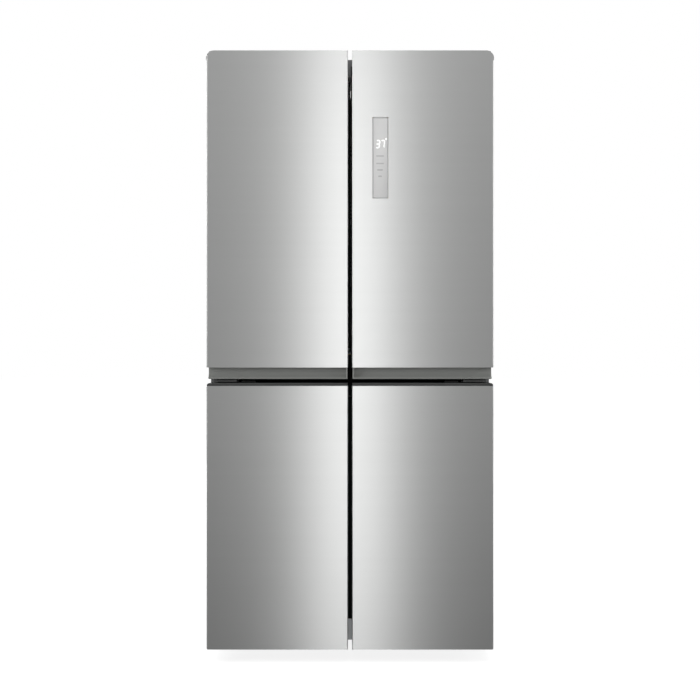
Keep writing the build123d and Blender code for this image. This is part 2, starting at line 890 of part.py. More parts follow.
with BuildPart() as compressor:
    upright(220, 235, (60, 214), 78)
    ends = compressor.edges().filter_by(GeomType.CIRCLE).sort_by(Axis.Z)
    fillet(ends[-1], 46)
    fillet(ends[0], 20)
    block((125, 315), (175, 295), (54, 62))
    for x in (140, 300):
        for y in (187, 283):
            upright(x, y, (46, 54), 11)
    block((284, 320), (215, 257), (96, 142))
save(compressor, "compressor")


def make_fan(name, centre, direction, radius, blades, blade_width, shaft):
    """A hub with tilted blades around it."""
    with BuildPart() as fan:
        with Locations(Plane(origin=centre, z_dir=direction)):
            Cylinder(radius * 0.28, 16)
            Cylinder(4, shaft)
            with PolarLocations(radius * 0.62, blades):
                Box(radius * 0.74, blade_width, 2.2, rotation=(28, 0, 0))
    save(fan, name)


make_fan("condenser_fan", (20, 230, 170), (1, 0, 0), 72, 5, 46, 52)
make_fan("evaporator_fan", (0, 240, 690), (0, 1, 0), 32, 5, 20, 36)

with BuildPart() as motors:
    with Locations(Plane(origin=(60, 230, 170), z_dir=(1, 0, 0))):
        Cylinder(24, 40)
    with Locations(Plane(origin=(42, 230, 170), z_dir=(1, 0, 0))):
        Cylinder(4.3, 14, mode=Mode.SUBTRACT)
    block((52, 66), (222, 238), (45.3, 150))
    with Locations(Plane(origin=(0, 262, 690), z_dir=(0, 1, 0))):
        Cylinder(16, 11)
    with Locations(Plane(origin=(0, 256, 690), z_dir=(0, 1, 0))):
        Cylinder(4.3, 10, mode=Mode.SUBTRACT)
save(motors, "fan_motors")

# Back of the machine space
with BuildPart() as machine_cover:
    block((-390, 390), (cabinet_back - 3, cabinet_back - 1), (50, machine_high + 4))
    for column in range(24):
        x = -330 + column * 24
        block((x, x + 10), (300, 360), (110, 250), Mode.SUBTRACT)
    with Locations(Plane(origin=(340, cabinet_back, 90), z_dir=(0, 1, 0))):
        Cylinder(9, 20, mode=Mode.SUBTRACT)
save(machine_cover, "machine_cover")

with BuildPart() as gland:
    with Locations(Plane(origin=(340, cabinet_back - 1, 90), z_dir=(0, 1, 0))):
        Cylinder(13, 6, align=(Align.CENTER, Align.CENTER, Align.MIN))
        Cylinder(8.6, 14, align=(Align.CENTER, Align.CENTER, Align.MAX))
        Cylinder(4.2, 60, mode=Mode.SUBTRACT)
save(gland, "cord_gland")

# Screws: hinge plates, back panel and machine cover
with BuildPart() as screws:
    for side in (-1, 1):
        for x in (333, 368):
            upright(side * x, -215, (top_plate_high + 0.1, top_plate_high + 2.5), 4.5)
        for x in (330, 345, 360):
            centre = (side * x, cabinet_front - 3.5, upper_door_low + 22)
            with Locations(Plane(origin=centre, z_dir=(0, -1, 0))):
                Cylinder(4, 2, align=(Align.CENTER, Align.CENTER, Align.MIN))
    for x in (-385, 385):
        for z in (60, 180, 300, 480, 800, 1120, 1440, 1660):
            y = cabinet_back - 0.9 if z < machine_high else cabinet_back + 0.1
            with Locations(Plane(origin=(x, y, z), z_dir=(0, 1, 0))):
                Cylinder(4, 2.2, align=(Align.CENTER, Align.CENTER, Align.MIN))
save(screws, "screws")
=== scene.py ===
import json
import math

import bmesh
import bpy
import numpy as np
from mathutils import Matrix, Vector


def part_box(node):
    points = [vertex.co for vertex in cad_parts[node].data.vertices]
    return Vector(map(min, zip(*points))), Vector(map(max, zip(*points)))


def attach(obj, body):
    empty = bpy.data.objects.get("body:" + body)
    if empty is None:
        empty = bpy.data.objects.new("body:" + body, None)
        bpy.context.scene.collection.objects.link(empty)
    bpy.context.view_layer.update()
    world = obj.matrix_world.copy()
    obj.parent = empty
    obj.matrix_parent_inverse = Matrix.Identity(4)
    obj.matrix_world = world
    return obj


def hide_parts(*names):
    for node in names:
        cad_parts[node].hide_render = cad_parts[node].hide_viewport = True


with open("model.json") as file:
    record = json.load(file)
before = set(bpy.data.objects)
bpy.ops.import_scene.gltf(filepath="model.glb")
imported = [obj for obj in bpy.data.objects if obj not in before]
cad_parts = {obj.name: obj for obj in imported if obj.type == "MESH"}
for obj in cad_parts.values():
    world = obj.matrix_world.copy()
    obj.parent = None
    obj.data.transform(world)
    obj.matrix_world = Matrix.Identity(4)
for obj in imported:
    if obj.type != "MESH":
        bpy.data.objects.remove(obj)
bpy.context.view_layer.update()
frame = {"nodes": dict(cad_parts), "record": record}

MM = 0.001
SIDES = (("left", -1), ("right", 1))
DOOR_ROWS = ("upper", "lower")
CORNER_STEPS = 7

# Places inside the CAD's pieces, in millimetres, where a piece's own box doesn't give them.
DOOR_BACK = -278
RIM_NEAR = 50
RIM_FAR = {"upper": 345, "lower": 330}
RIM_RISE = {"upper": (865, 1633), "lower": (115, 723)}
GASKET_NEAR = 9.75
GASKET_FAR = 371
BIN_LEVELS = (888, 1135, 1385)
BIN_TALL = 90
FLAP_PIVOT = (-33, -256)
SHELF_LEVELS = (1056, 1240, 1430)
SHELF_THICK = 5
SIDE_WALL = 348
FAN_CENTRE = (0, 690)
MACHINE_TOP = 318
STANDS = (-300, 300)


# Shader maths --------------------------------------------------------------------------

class Wire:
    """A value in a node graph. Arithmetic on it adds Math nodes."""

    def __init__(self, graph, socket):
        self.graph = graph
        self.socket = socket

    def maths(self, operation, *values):
        sockets = dict(enumerate(values))
        return self.graph.node("ShaderNodeMath", {"operation": operation}, sockets)

    def __add__(self, other):
        return self.maths("ADD", self, other)

    def __sub__(self, other):
        return self.maths("SUBTRACT", self, other)

    def __rsub__(self, other):
        return self.maths("SUBTRACT", other, self)

    def __mul__(self, other):
        return self.maths("MULTIPLY", self, other)

    __radd__ = __add__
    __rmul__ = __mul__

    def eased(self, start, end, low=0.0, high=1.0, curve="LINEAR"):
        """Goes from low to high while the value goes from start to end, and stays there."""
        values = {
            "Value": self, "From Min": start, "From Max": end, "To Min": low, "To Max": high,
        }
        return self.graph.node("ShaderNodeMapRange", {"interpolation_type": curve}, values)

    def over(self, level, softness):
        """1 where the value is above a level and 0 below it, with a soft step."""
        return self.eased(level - softness, level + softness, curve="SMOOTHSTEP")


class Graph:
    """A node tree, built from nothing."""

    def __init__(self, tree):
        self.tree = tree
        tree.nodes.clear()

    def node(self, kind, settings=None, values=None, out=0):
        """Adds a node, sets it up and gives back one of its outputs."""
        made = self.tree.nodes.new(kind)
        for key, value in (settings or {}).items():
            setattr(made, key, value)
        for key, value in (values or {}).items():
            self.put(made.inputs[key], value)
        return Wire(self, made.outputs[out])

    def put(self, socket, value):
        if isinstance(value, Wire):
            self.tree.links.new(value.socket, socket)
        else:
            socket.default_value = value


class Paint(Graph):
    """One material: a Principled shader and what feeds it."""

    def __init__(self, name):
        self.material = bpy.data.materials.new(name)
        self.material.use_nodes = True
        super().__init__(self.material.node_tree)
        self.shader = self.tree.nodes.new("ShaderNodeBsdfPrincipled")
        self.surface = Wire(self, self.shader.outputs[0])
        self.output = self.tree.nodes.new("ShaderNodeOutputMaterial").inputs["Surface"]
        self.put(self.output, self.surface)
        self.place = self.node("ShaderNodeTexCoord", out="Object")

    def stretched(self, factors):
        """Object coordinates multiplied along x, y and z."""
        return self.node(
            "ShaderNodeVectorMath", {"operation": "MULTIPLY"}, {0: self.place, 1: factors}
        )

    def noise(self, factors, detail=2.0, roughness=0.5):
        """Noise with its own fineness along x, y and z, in cells per metre."""
        values = {
            "Vector": self.stretched(factors), "Scale": 1.0, "Detail": detail,
            "Roughness": roughness,
        }
        return self.node("ShaderNodeTexNoise", {}, values)

    def cells(self, fineness):
        """Distance from the nearest of many scattered points."""
        values = {"Vector": self.stretched((fineness,) * 3), "Scale": 1.0}
        return self.node("ShaderNodeTexVoronoi", {}, values)

    def mixed(self, factor, low, high):
        """Colour between two colours."""
        settings = {"data_type": "RGBA"}
        return self.node("ShaderNodeMix", settings, {0: factor, 6: low, 7: high}, out=2)

    def bumped(self, height, strength, distance):
        values = {"Height": height, "Strength": strength, "Distance": distance}
        self.put(self.shader.inputs["Normal"], self.node("ShaderNodeBump", {}, values))

    def set(self, **values):
        """Sets Principled sockets, named with underscores for spaces."""
        for key, value in values.items():
            self.put(self.shader.inputs[key.replace("_", " ")], value)
        return self


def grey(level, alpha=1.0):
    return (level, level, level, alpha)


def scaled(colour, factor):
    return tuple(part * factor for part in colour[:3]) + (1.0,)


def brushed_steel(name, tone, roughness):
    """Rolled sheet with a level grain: long faint streaks, closely stacked up the sheet."""
    paint = Paint(name)
    fine = paint.noise((4, 4, 1400), 3)
    broad = paint.noise((0.8, 0.8, 60), 2)
    mark = fine * 0.6 + broad * 0.4
    paint.set(
        Base_Color=paint.mixed(mark, scaled(tone, 0.965), scaled(tone, 1.03)),
        Roughness=roughness + (fine - 0.5) * 0.05,
        Metallic=1.0,
        Anisotropic=0.8,
        Anisotropic_Rotation=0.25,
    )
    paint.bumped(fine, 0.03, 0.0002)
    return paint.material


def plain_metal(name, tone, roughness, blotch=0.12):
    """Bare or plated metal with a slow mottle and fine scuffs."""
    paint = Paint(name)
    mottle = paint.noise((38, 38, 38), 4)
    scuff = paint.noise((700, 90, 240), 2)
    paint.set(
        Base_Color=paint.mixed(mottle, scaled(tone, 1 - blotch), scaled(tone, 1 + blotch)),
        Roughness=roughness + (scuff - 0.5) * 0.16,
        Metallic=1.0,
    )
    paint.bumped(scuff, 0.06, 0.0002)
    return paint.material


def enamel(name, tone, roughness, texture=420):
    """Sprayed enamel on steel, with a fine orange-peel and a little dust spread at random."""
    paint = Paint(name)
    peel = paint.noise((texture,) * 3, 2)
    dust = paint.noise((9, 9, 9), 4)
    paint.set(
        Base_Color=paint.mixed(dust, scaled(tone, 0.94), scaled(tone, 1.08)),
        Roughness=roughness + (dust - 0.5) * 0.1,
        Coat_Weight=0.15,
    )
    paint.bumped(peel, 0.18, 0.0004)
    return paint.material


def moulded(name, tone, roughness, texture=900, depth=0.12, shine=0.45):
    """Moulded plastic with a spark-eroded texture."""
    paint = Paint(name)
    pits = paint.cells(texture)
    flow = paint.noise((6, 6, 14), 3)
    paint.set(
        Base_Color=paint.mixed(flow, scaled(tone, 0.95), scaled(tone, 1.05)),
        Roughness=roughness + (flow - 0.5) * 0.08,
        Specular_IOR_Level=shine,
    )
    paint.bumped(pits, depth, 0.0003)
    return paint.material


def clear_plastic(name, tint, roughness, clearness):
    """Moulded clear plastic with faint flow lines."""
    paint = Paint(name)
    flow = paint.noise((14, 14, 60), 3)
    paint.set(
        Base_Color=paint.mixed(flow, scaled(tint, 0.97), scaled(tint, 1.0)),
        Roughness=roughness + (flow - 0.5) * 0.05,
        Transmission_Weight=clearness,
        IOR=1.2,
    )
    paint.bumped(flow, 0.05, 0.0005)
    return paint.material


def foam(name, tone):
    """Rigid foam with open cells."""
    paint = Paint(name)
    bubbles = paint.cells(260)
    stain = paint.noise((12, 12, 12), 4)
    paint.set(Base_Color=paint.mixed(stain, scaled(tone, 0.85), scaled(tone, 1.1)), Roughness=0.9)
    paint.bumped(bubbles, 0.5, 0.001)
    return paint.material


def rubber(name, tone):
    """Extruded seal: matte, with a soft bloom and faint lines along it."""
    paint = Paint(name)
    bloom = paint.noise((20, 20, 20), 4)
    skin = paint.noise((500,) * 3, 2)
    paint.set(
        Base_Color=paint.mixed(bloom, scaled(tone, 0.8), scaled(tone, 1.3)),
        Roughness=0.72 + (bloom - 0.5) * 0.15,
        Specular_IOR_Level=0.12,
    )
    paint.bumped(skin, 0.1, 0.0003)
    return paint.material


def satin_film(name, tone, roughness):
    """Printed film over metal ink, with a soft sheen."""
    paint = Paint(name)
    flow = paint.noise((60, 60, 60), 3)
    paint.set(
        Base_Color=paint.mixed(flow, scaled(tone, 0.98), scaled(tone, 1.01)),
        Roughness=roughness + (flow - 0.5) * 0.04,
        Metallic=0.75,
    )
    return paint.material


def circuit(name):
    """Circuit board: green mask over copper tracks."""
    paint = Paint(name)
    tracks = paint.noise((160, 160, 900), 0).over(0.55, 0.01)
    paint.set(
        Base_Color=paint.mixed(tracks, (0.01, 0.09, 0.035, 1), (0.03, 0.2, 0.08, 1)),
        Roughness=0.35 + tracks * 0.1,
    )
    return paint.material


def glowing(name, tone, strength):
    """Printed or lit mark, with a trace of unevenness."""
    paint = Paint(name)
    uneven = paint.noise((900,) * 3, 2)
    colour = paint.mixed(uneven, scaled(tone, 0.92), scaled(tone, 1.0))
    paint.set(Base_Color=colour, Emission_Color=colour, Emission_Strength=strength, Roughness=0.4)
    return paint.material


def tempered_glass(name):
    """Clear sheet glass with a faint green cast."""
    paint = Paint(name)
    haze = paint.noise((30, 30, 30), 3)
    paint.set(
        Base_Color=paint.mixed(haze, (0.88, 0.96, 0.93, 1), (0.92, 0.98, 0.96, 1)),
        Roughness=0.015 + haze * 0.02,
        Transmission_Weight=1.0,
        IOR=1.3,
    )
    return paint.material


FINISHES = {
    "stainless": brushed_steel("brushed_steel_sheet", (0.60, 0.605, 0.60), 0.3),
    "cabinet_paint": enamel("cabinet_side_enamel", (0.165, 0.168, 0.171), 0.42),
    "galvanised": plain_metal("galvanised_sheet", (0.48, 0.49, 0.5), 0.42),
    "trim_plastic": moulded("dark_trim_plastic", (0.25, 0.253, 0.248), 0.42),
    "liner_plastic": moulded("white_liner_plastic", (0.80, 0.81, 0.81), 0.3, 300, 0.04),
    "clear_plastic": clear_plastic("clear_bin_plastic", (0.9, 0.95, 0.97), 0.06, 0.92),
    "drawer_plastic": clear_plastic("frosted_drawer_plastic", (0.93, 0.95, 0.96), 0.3, 0.45),
    "insulation": foam("yellow_insulation_foam", (0.72, 0.55, 0.25)),
    "seal_rubber": rubber("dark_seal_rubber", (0.011, 0.0115, 0.012)),
    "panel_face": satin_film("panel_overlay_film", (0.78, 0.78, 0.775), 0.42),
    "board": circuit("control_circuit_board"),
    "flap_paint": moulded("black_flap_skin", (0.004, 0.004, 0.004), 0.75, 700, 0.06, 0.12),
    "shelf_glass": tempered_glass("tempered_shelf_glass"),
    "lamp": glowing("opal_lamp_diffuser", (0.93, 0.94, 0.92), 0.6),
    "black_enamel": enamel("black_compressor_enamel", (0.02, 0.02, 0.021), 0.4, 260),
    "copper": plain_metal("bare_copper_tube", (0.72, 0.34, 0.2), 0.3),
    "aluminium_fin": plain_metal("mill_finish_aluminium", (0.72, 0.73, 0.74), 0.35, 0.06),
    "fan_plastic": moulded("black_fan_plastic", (0.03, 0.03, 0.031), 0.5, 700),
    "roller_plastic": moulded("hard_roller_plastic", (0.045, 0.045, 0.045), 0.55, 700),
    "zinc": plain_metal("zinc_plated_steel", (0.62, 0.61, 0.56), 0.3),
    "hinge_steel": enamel("dark_hinge_enamel", (0.06, 0.061, 0.061), 0.38),
}

BAND = moulded("handle_band_plastic", (0.26, 0.267, 0.255), 0.42)
END_CAP = moulded("end_cap_plastic", (0.12, 0.122, 0.12), 0.45)
DARK_TRIM = moulded("near_black_trim_plastic", (0.035, 0.036, 0.035), 0.5)
PANEL_FRAME = satin_film("panel_frame_film", (0.55, 0.55, 0.55), 0.42)
LIT_MARK = glowing("white_lit_mark", (0.95, 0.96, 0.95), 0.9)
DARK_MARK = satin_film("grey_printed_label", (0.6, 0.6, 0.6), 0.45)
FAINT_MARK = satin_film("faint_printed_label", (0.76, 0.76, 0.76), 0.45)

slots = {row["node"]: row["material_slot"] for row in frame["record"]["subparts"]}
for node_name, node_object in frame["nodes"].items():
    node_object.data.materials.clear()
    node_object.data.materials.append(FINISHES[slots[node_name]])
for side_name, _ in SIDES:
    for row, finish in (("upper", BAND), ("lower", DARK_TRIM)):
        frame["nodes"][f"{side_name}_{row}_door_handle_cap"].data.materials[0] = finish
        frame["nodes"][f"{side_name}_{row}_door_end_cap"].data.materials[0] = END_CAP


# Surfaces --------------------------------------------------------------------------------
# Lengths here are in millimetres. A shape is a pair: its points and its faces.

def node_box(*names):
    """Lowest and highest corner of some CAD nodes together, in millimetres."""
    boxes = np.array([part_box(name) for name in names], float) / MM
    return boxes[:, 0].min(axis=0), boxes[:, 1].max(axis=0)


def rounded(low, high, radius, steps=CORNER_STEPS):
    """Rectangle with round corners: a quarter circle about each corner's own centre."""
    low, high = np.array(low, float), np.array(high, float)
    angle = np.linspace(0, math.pi / 2, steps + 1)
    turn = np.concatenate([angle + quarter * math.pi / 2 for quarter in range(4)])
    side = np.repeat([[1, 1], [-1, 1], [-1, -1], [1, -1]], steps + 1, axis=0)
    reach = (high - low) / 2 - radius
    return (low + high) / 2 + side * reach + radius * np.stack([np.cos(turn), np.sin(turn)], 1)


def circle(centre, radius, steps=40):
    """Circle: the centre plus the radius times the cosine and the sine of the turn."""
    turn = np.linspace(0, 2 * math.pi, steps, endpoint=False)
    return np.array(centre, float) + radius * np.stack([np.cos(turn), np.sin(turn)], 1)


def shell(points, looped=False):
    """Closed surface over a grid of points: each row is a ring, and the end rings are filled.

    A looped one has no ends, because its last ring joins its first.
    """
    rows, around = points.shape[:2]
    index = np.arange(rows * around).reshape(rows, around)
    lower = index if looped else index[:-1]
    upper = np.roll(index, -1, 0) if looped else index[1:]
    corners = [lower, np.roll(lower, -1, 1), np.roll(upper, -1, 1), upper]
    faces = np.stack(corners, axis=-1).reshape(-1, 4).tolist()
    if not looped:
        faces += [index[0][::-1].tolist(), index[-1].tolist()]
    return points.reshape(-1, 3), faces


def placed(outlines, heights, axis):
    """Grid of points: flat outlines at heights along an axis."""
    outlines = np.asarray(outlines, float)
    first, second, along = {"x": (1, 2, 0), "y": (0, 2, 1), "z": (0, 1, 2)}[axis]
    points = np.empty(outlines.shape[:2] + (3,))
    points[..., first] = outlines[..., 0]
    points[..., second] = outlines[..., 1]
    points[..., along] = np.asarray(heights, float)[:, None]
    return points


def tray(low, high, radius, section, axis, looped=False):
    """Rounded rectangle carried through a section, given as (inset, height) steps.

    At each step the rectangle is drawn in by the inset, and its corners tighten with it.
    """
    low, high = np.array(low, float), np.array(high, float)
    outlines = [
        rounded(low + inset, high - inset, max(radius - inset, 0.4)) for inset, _ in section
    ]
    return shell(placed(outlines, [height for _, height in section], axis), looped)


def slab(low, high, radius, edge, axis):
    """Plate between two corners, with round corners and a quarter-round on both rims."""
    order = {"x": (1, 2, 0), "y": (0, 2, 1), "z": (0, 1, 2)}[axis]
    low, high = (np.array(corner, float)[list(order)] for corner in (low, high))
    turn = np.linspace(0, math.pi / 2, 4)
    start = [(edge * (1 - math.sin(t)), low[2] + edge * (1 - math.cos(t))) for t in turn]
    end = [(edge * (1 - math.cos(t)), high[2] - edge * (1 - math.sin(t))) for t in turn]
    return tray(low[:2], high[:2], radius, start + end, axis)


def turned(centre, profile, axis, steps=40):
    """Turned shape: (radius, height) steps carried round a centre line."""
    outlines = [circle(centre, radius, steps) for radius, _ in profile]
    return shell(placed(outlines, [height for _, height in profile], axis))


def drawn(outline, stops, axis):
    """Outline carried straight along an axis and drawn in a little at both ends."""
    outline = np.array(outline, float)
    middle = (outline.min(axis=0) + outline.max(axis=0)) / 2
    size = np.maximum(outline.max(axis=0) - outline.min(axis=0), 1e-6)
    first, last = stops
    step = 0.6 if last > first else -0.6
    shrunk = middle + (outline - middle) * (1 - 0.9 / np.maximum(size, 3))
    outlines = [shrunk, outline, outline, shrunk]
    return shell(placed(outlines, [first, first + step, last - step, last], axis))


def screw_head(x, y, z, radius, height, axis):
    """Domed head with a cross recess.

    The height over the head is a dome, less a cross-shaped pocket: the pocket is deep where
    either arm's distance from the middle line is small and the radius is short.
    """
    share = np.concatenate([[1.0, 1.0], np.cos(np.linspace(0, math.pi / 2, 12))[:-1], [0.02]])
    turn = np.linspace(0, 2 * math.pi, 48, endpoint=False)
    spread, around = np.meshgrid(share, turn, indexing="ij")
    arm = np.minimum(np.abs(np.cos(around)), np.abs(np.sin(around))) * spread
    pocket = np.clip((0.16 - arm) / 0.07, 0, 1) * np.clip((0.66 - spread) / 0.12, 0, 1)
    rise = np.sqrt(np.clip(1 - spread**2 * 0.8, 0, 1)) * height
    rise = np.maximum(rise - pocket * height * 0.75, 0)
    rise[0] = -abs(height) * 0.15
    first = spread * radius * np.cos(around)
    second = spread * radius * np.sin(around)
    if axis == "z":
        points = np.stack([x + first, y + second, z + rise], axis=-1)
    else:
        points = np.stack([x + first, y + math.copysign(1, axis) * rise, z + second], axis=-1)
    return shell(points)


def piece(name, body, slot, shapes, replaces=(), finish=None, crease=35):
    """Makes one mesh of some shapes, gives it its finish and lets it ride on a body."""
    points, faces, start = [], [], 0
    for shape_points, shape_faces in shapes:
        points.append(shape_points)
        faces += [[start + index for index in face] for face in shape_faces]
        start += len(shape_points)
    mesh = bpy.data.meshes.new(name)
    mesh.from_pydata((np.concatenate(points) * MM).tolist(), [], faces)
    work = bmesh.new()
    work.from_mesh(mesh)
    bmesh.ops.recalc_face_normals(work, faces=work.faces)
    work.to_mesh(mesh)
    work.free()
    mesh.polygons.foreach_set("use_smooth", np.ones(len(mesh.polygons), bool))
    mesh.set_sharp_from_angle(angle=math.radians(crease))
    mesh.materials.append(finish or FINISHES[slot])
    made = bpy.data.objects.new(name, mesh)
    bpy.context.collection.objects.link(made)
    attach(made, body)
    if replaces:
        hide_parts(*replaces)
    return made


def ordered(side, near, far):
    """The x values at two distances from the middle line, on the left or the right."""
    return sorted((side * near, side * far))


# Doors -----------------------------------------------------------------------------------

def door_liner(side_name, side, row):
    """Vacuum-formed inner panel: flat border, drafted rim with a round crest, sunk middle."""
    node = f"{side_name}_{row}_door_liner"
    low, high = node_box(node)
    crest = high[1]
    rim_x = ordered(side, RIM_NEAR, RIM_FAR[row])
    rim_z = RIM_RISE[row]
    border = [((low[0], low[2]), (high[0], high[2]), 4, inset, y) for inset, y in (
        (0.4, low[1]), (0, low[1] + 0.4), (0, DOOR_BACK - 0.5), (0.6, DOOR_BACK))]
    rise = (
        (-9, DOOR_BACK), (-4.5, DOOR_BACK + 1.2), (-1.5, DOOR_BACK + 4), (0, DOOR_BACK + 9),
        (3, crest - 8), (4.4, crest - 3.4), (7, crest - 0.9), (10, crest), (13, crest - 0.5),
        (15.4, crest - 2.6), (16.6, crest - 6), (19, DOOR_BACK + 8), (19.7, DOOR_BACK + 3),
        (21.2, DOOR_BACK + 1.2), (24, DOOR_BACK + 0.6), (60, DOOR_BACK + 0.5),
    )
    rim = [((rim_x[0], rim_z[0]), (rim_x[1], rim_z[1]), 22, inset, y) for inset, y in rise]
    outlines, heights = [], []
    for near, far, radius, inset, y in border + rim:
        near, far = np.array(near) + inset, np.array(far) - inset
        outlines.append(rounded(near, far, max(radius - inset, 3)))
        heights.append(y)
    shapes = [shell(placed(outlines, heights, "y"))]
    if row == "upper":
        # Ledges that the bins hook on
        for level in BIN_LEVELS:
            for x in (RIM_NEAR + 19, RIM_FAR[row] - 19):
                inner = ordered(side, x - 2.5, x + 2.5)
                shelf_z = level + BIN_TALL + 3
                shapes.append(slab(
                    (inner[0], crest - 36, shelf_z), (inner[1], crest - 6, shelf_z + 6),
                    2, 1, "x"))
    if row == "upper" and side < 0:
        # Arms and pins that carry the flap
        x, y = FLAP_PIVOT
        for z, start, end in ((865, 869, 878), (1629, 1622, 1631)):
            shapes.append(slab((x - 6, DOOR_BACK - 1, z), (x + 6, y + 6, z + 6), 5.5, 1, "z"))
            pin = ((2.4, start), (3, start + 1), (3, end - 1), (2.4, end))
            shapes.append(turned((x, y), pin, "z", 24))
    return piece(f"{node}_moulding", f"{side_name}_{row}_door", "liner_plastic", shapes, [node])


def door_gasket(side_name, side, row):
    """Magnetic seal: one section carried round the door.

    The section has a dart against the liner, two bellows folds, and a flat magnet head.
    """
    node = f"{side_name}_{row}_door_gasket"
    low, high = node_box(node)
    x = ordered(side, GASKET_NEAR, GASKET_FAR)
    back, face = low[1], high[1]
    section = (
        (1.2, back), (0.3, back + 1.3), (2.9, back + 2.5), (0.5, back + 3.9),
        (2.9, back + 5.3), (0.3, back + 6.8), (0, face - 1.4), (0.5, face - 0.4), (1.4, face),
        (6.8, face), (7.6, face - 0.5), (8.4, face - 0.5), (9.2, face), (14.6, face),
        (15.5, face - 0.4), (16, face - 1.4), (15.7, back + 6.8), (13.1, back + 5.3),
        (15.5, back + 3.9), (13.1, back + 2.5), (15.7, back + 1.3), (14.8, back),
    )
    shapes = [tray((x[0], low[2]), (x[1], high[2]), 7, section, "y", looped=True)]
    if row == "upper" and side > 0:
        root = GASKET_NEAR + 0.6
        fin = ((low[0], face - 0.5), (low[0] + 0.5, face - 1.3), (root, face - 3.6),
               (root, face - 1.2))
        shapes.append(drawn(fin, (low[2] + 6, high[2] - 6), "z"))
    return piece(f"{node}_bellows", f"{side_name}_{row}_door", "seal_rubber", shapes, [node])


def door_bins(side_name, side):
    """Clear bins: drafted walls, a rolled lip, a foot ring, and a frosted band on the front."""
    node = f"{side_name}_door_bins"
    low, high = node_box(node)
    shapes, bands = [], []
    for level in BIN_LEVELS:
        section = (
            (9, level), (5.5, level), (4, level + 1.2), (3, level + 4), (1.2, level + 80),
            (0.2, level + 83), (0, level + 86), (0.5, level + 88.6), (1.6, level + 90),
            (2.8, level + 90), (3.6, level + 88.6), (3.4, level + 84), (3.9, level + 80),
            (6, level + 7), (7.4, level + 4.2), (10, level + 3.2), (40, level + 3.2),
        )
        shapes.append(tray(low[:2], high[:2], 15, section, "z"))
        for share in (0.25, 0.5, 0.75):
            x = low[0] + (high[0] - low[0]) * share
            shapes.append(slab((x - 1, low[1] + 5, level + 2.5), (x + 1, high[1] - 6, level + 7),
                               1, 0.5, "z"))
        y = high[1]
        ridge = ((y - 2.4, level + 60), (y - 0.9, level + 60.6), (y + 0.4, level + 62),
                 (y + 0.6, level + 74), (y - 0.6, level + 76), (y - 2.2, level + 76.6))
        bands.append(drawn(ridge, (low[0] + 16, high[0] - 16), "x"))
    body = f"{side_name}_upper_door"
    piece(f"{node}_moulding", body, "clear_plastic", shapes, [node])
    piece(f"{node}_bands", body, "drawer_plastic", bands)


def drawer(node, body):
    """Drawer: a drafted open box behind a front whose pull is a scoop.

    The depth of the scoop is a product of two smooth steps, one along x and one along z.
    """
    low, high = node_box(node)
    front_thick = 16
    section = (
        (14, low[2]), (6, low[2]), (3.5, low[2] + 1.5), (2.4, low[2] + 6), (0.8, high[2] - 12),
        (0, high[2] - 9), (0, high[2] - 2), (0.8, high[2] - 0.4), (2.4, high[2] - 0.4),
        (3.2, high[2] - 2), (3.4, high[2] - 9), (5.4, low[2] + 8), (7.4, low[2] + 4),
        (12, low[2] + 3), (60, low[2] + 3),
    )
    shapes = [tray((low[0], low[1] + front_thick - 6), high[:2], 12, section, "z")]
    middle = (low[0] + high[0]) / 2
    half = 85 if "crisper" in node else 75
    stations = np.concatenate([
        [low[0] + 0.5, low[0] + 1.2, low[0] + 3, low[0] + 7], np.linspace(
            middle - half - 14, middle + half + 14, 41),
        [high[0] - 7, high[0] - 3, high[0] - 1.2, high[0] - 0.5]])
    rises = np.concatenate([
        [low[2] + 1, low[2] + 3, low[2] + 8], np.linspace(low[2] + 30, high[2] - 46, 6),
        np.linspace(high[2] - 42, high[2] - 3, 28), [high[2] - 1, high[2]]])
    x, z = np.meshgrid(stations, rises, indexing="ij")
    reach = np.clip((half + 6 - np.abs(x - middle)) / 12, 0, 1)
    drop = np.clip((z - (high[2] - 38)) / 9, 0, 1) * np.clip((high[2] - 7 - z) / 5, 0, 1)
    scoop = 9.5 * reach**2 * (3 - 2 * reach) * drop**2 * (3 - 2 * drop)
    edge = np.minimum.reduce([x - low[0], high[0] - x, z - low[2], high[2] - z])
    fall = 5 * (1 - np.clip(edge / 6, 0, 1)) ** 2.2
    front = np.stack([x, low[1] + 0.2 + fall + scoop, z], axis=-1)
    rear = front[:, ::-1].copy()
    rear[..., 1] = low[1] + front_thick - 2
    shapes.append(shell(np.concatenate([front, rear], axis=1)))
    piece(f"{node}_moulding", body, "drawer_plastic", shapes, [node])


for side_name, side in SIDES:
    for row in DOOR_ROWS:
        door_liner(side_name, side, row)
        door_gasket(side_name, side, row)
    door_bins(side_name, side)
    for name in ("crisper", "freezer_drawer_upper", "freezer_drawer_lower"):
        drawer(f"{side_name}_{name}", f"{side_name}_{name}")


# Control panel ---------------------------------------------------------------------------

DIGIT_WIDE = 9
DIGIT_HALF = 10
DIGIT_TALL = 2 * DIGIT_HALF
DIGIT_LEAN = 0.09
SEGMENTS = {
    "a": ((0, DIGIT_TALL), (DIGIT_WIDE, DIGIT_TALL)),
    "b": ((DIGIT_WIDE, DIGIT_HALF), (DIGIT_WIDE, DIGIT_TALL)),
    "c": ((DIGIT_WIDE, 0), (DIGIT_WIDE, DIGIT_HALF)),
    "d": ((0, 0), (DIGIT_WIDE, 0)),
    "g": ((0, DIGIT_HALF), (DIGIT_WIDE, DIGIT_HALF)),
}
# Marks under the digits: drop from the panel's top, half the width, and the height.
LABELS = ((107, 10.8, 3.6), (127.7, 10.8, 3.6), (145.5, 8.0, 4.2), (163.1, 5.2, 4.0))
FAINT_LABELS = ((116.8, 10.8, 2.0), (135.8, 10.8, 1.8), (154.1, 10.8, 1.8))


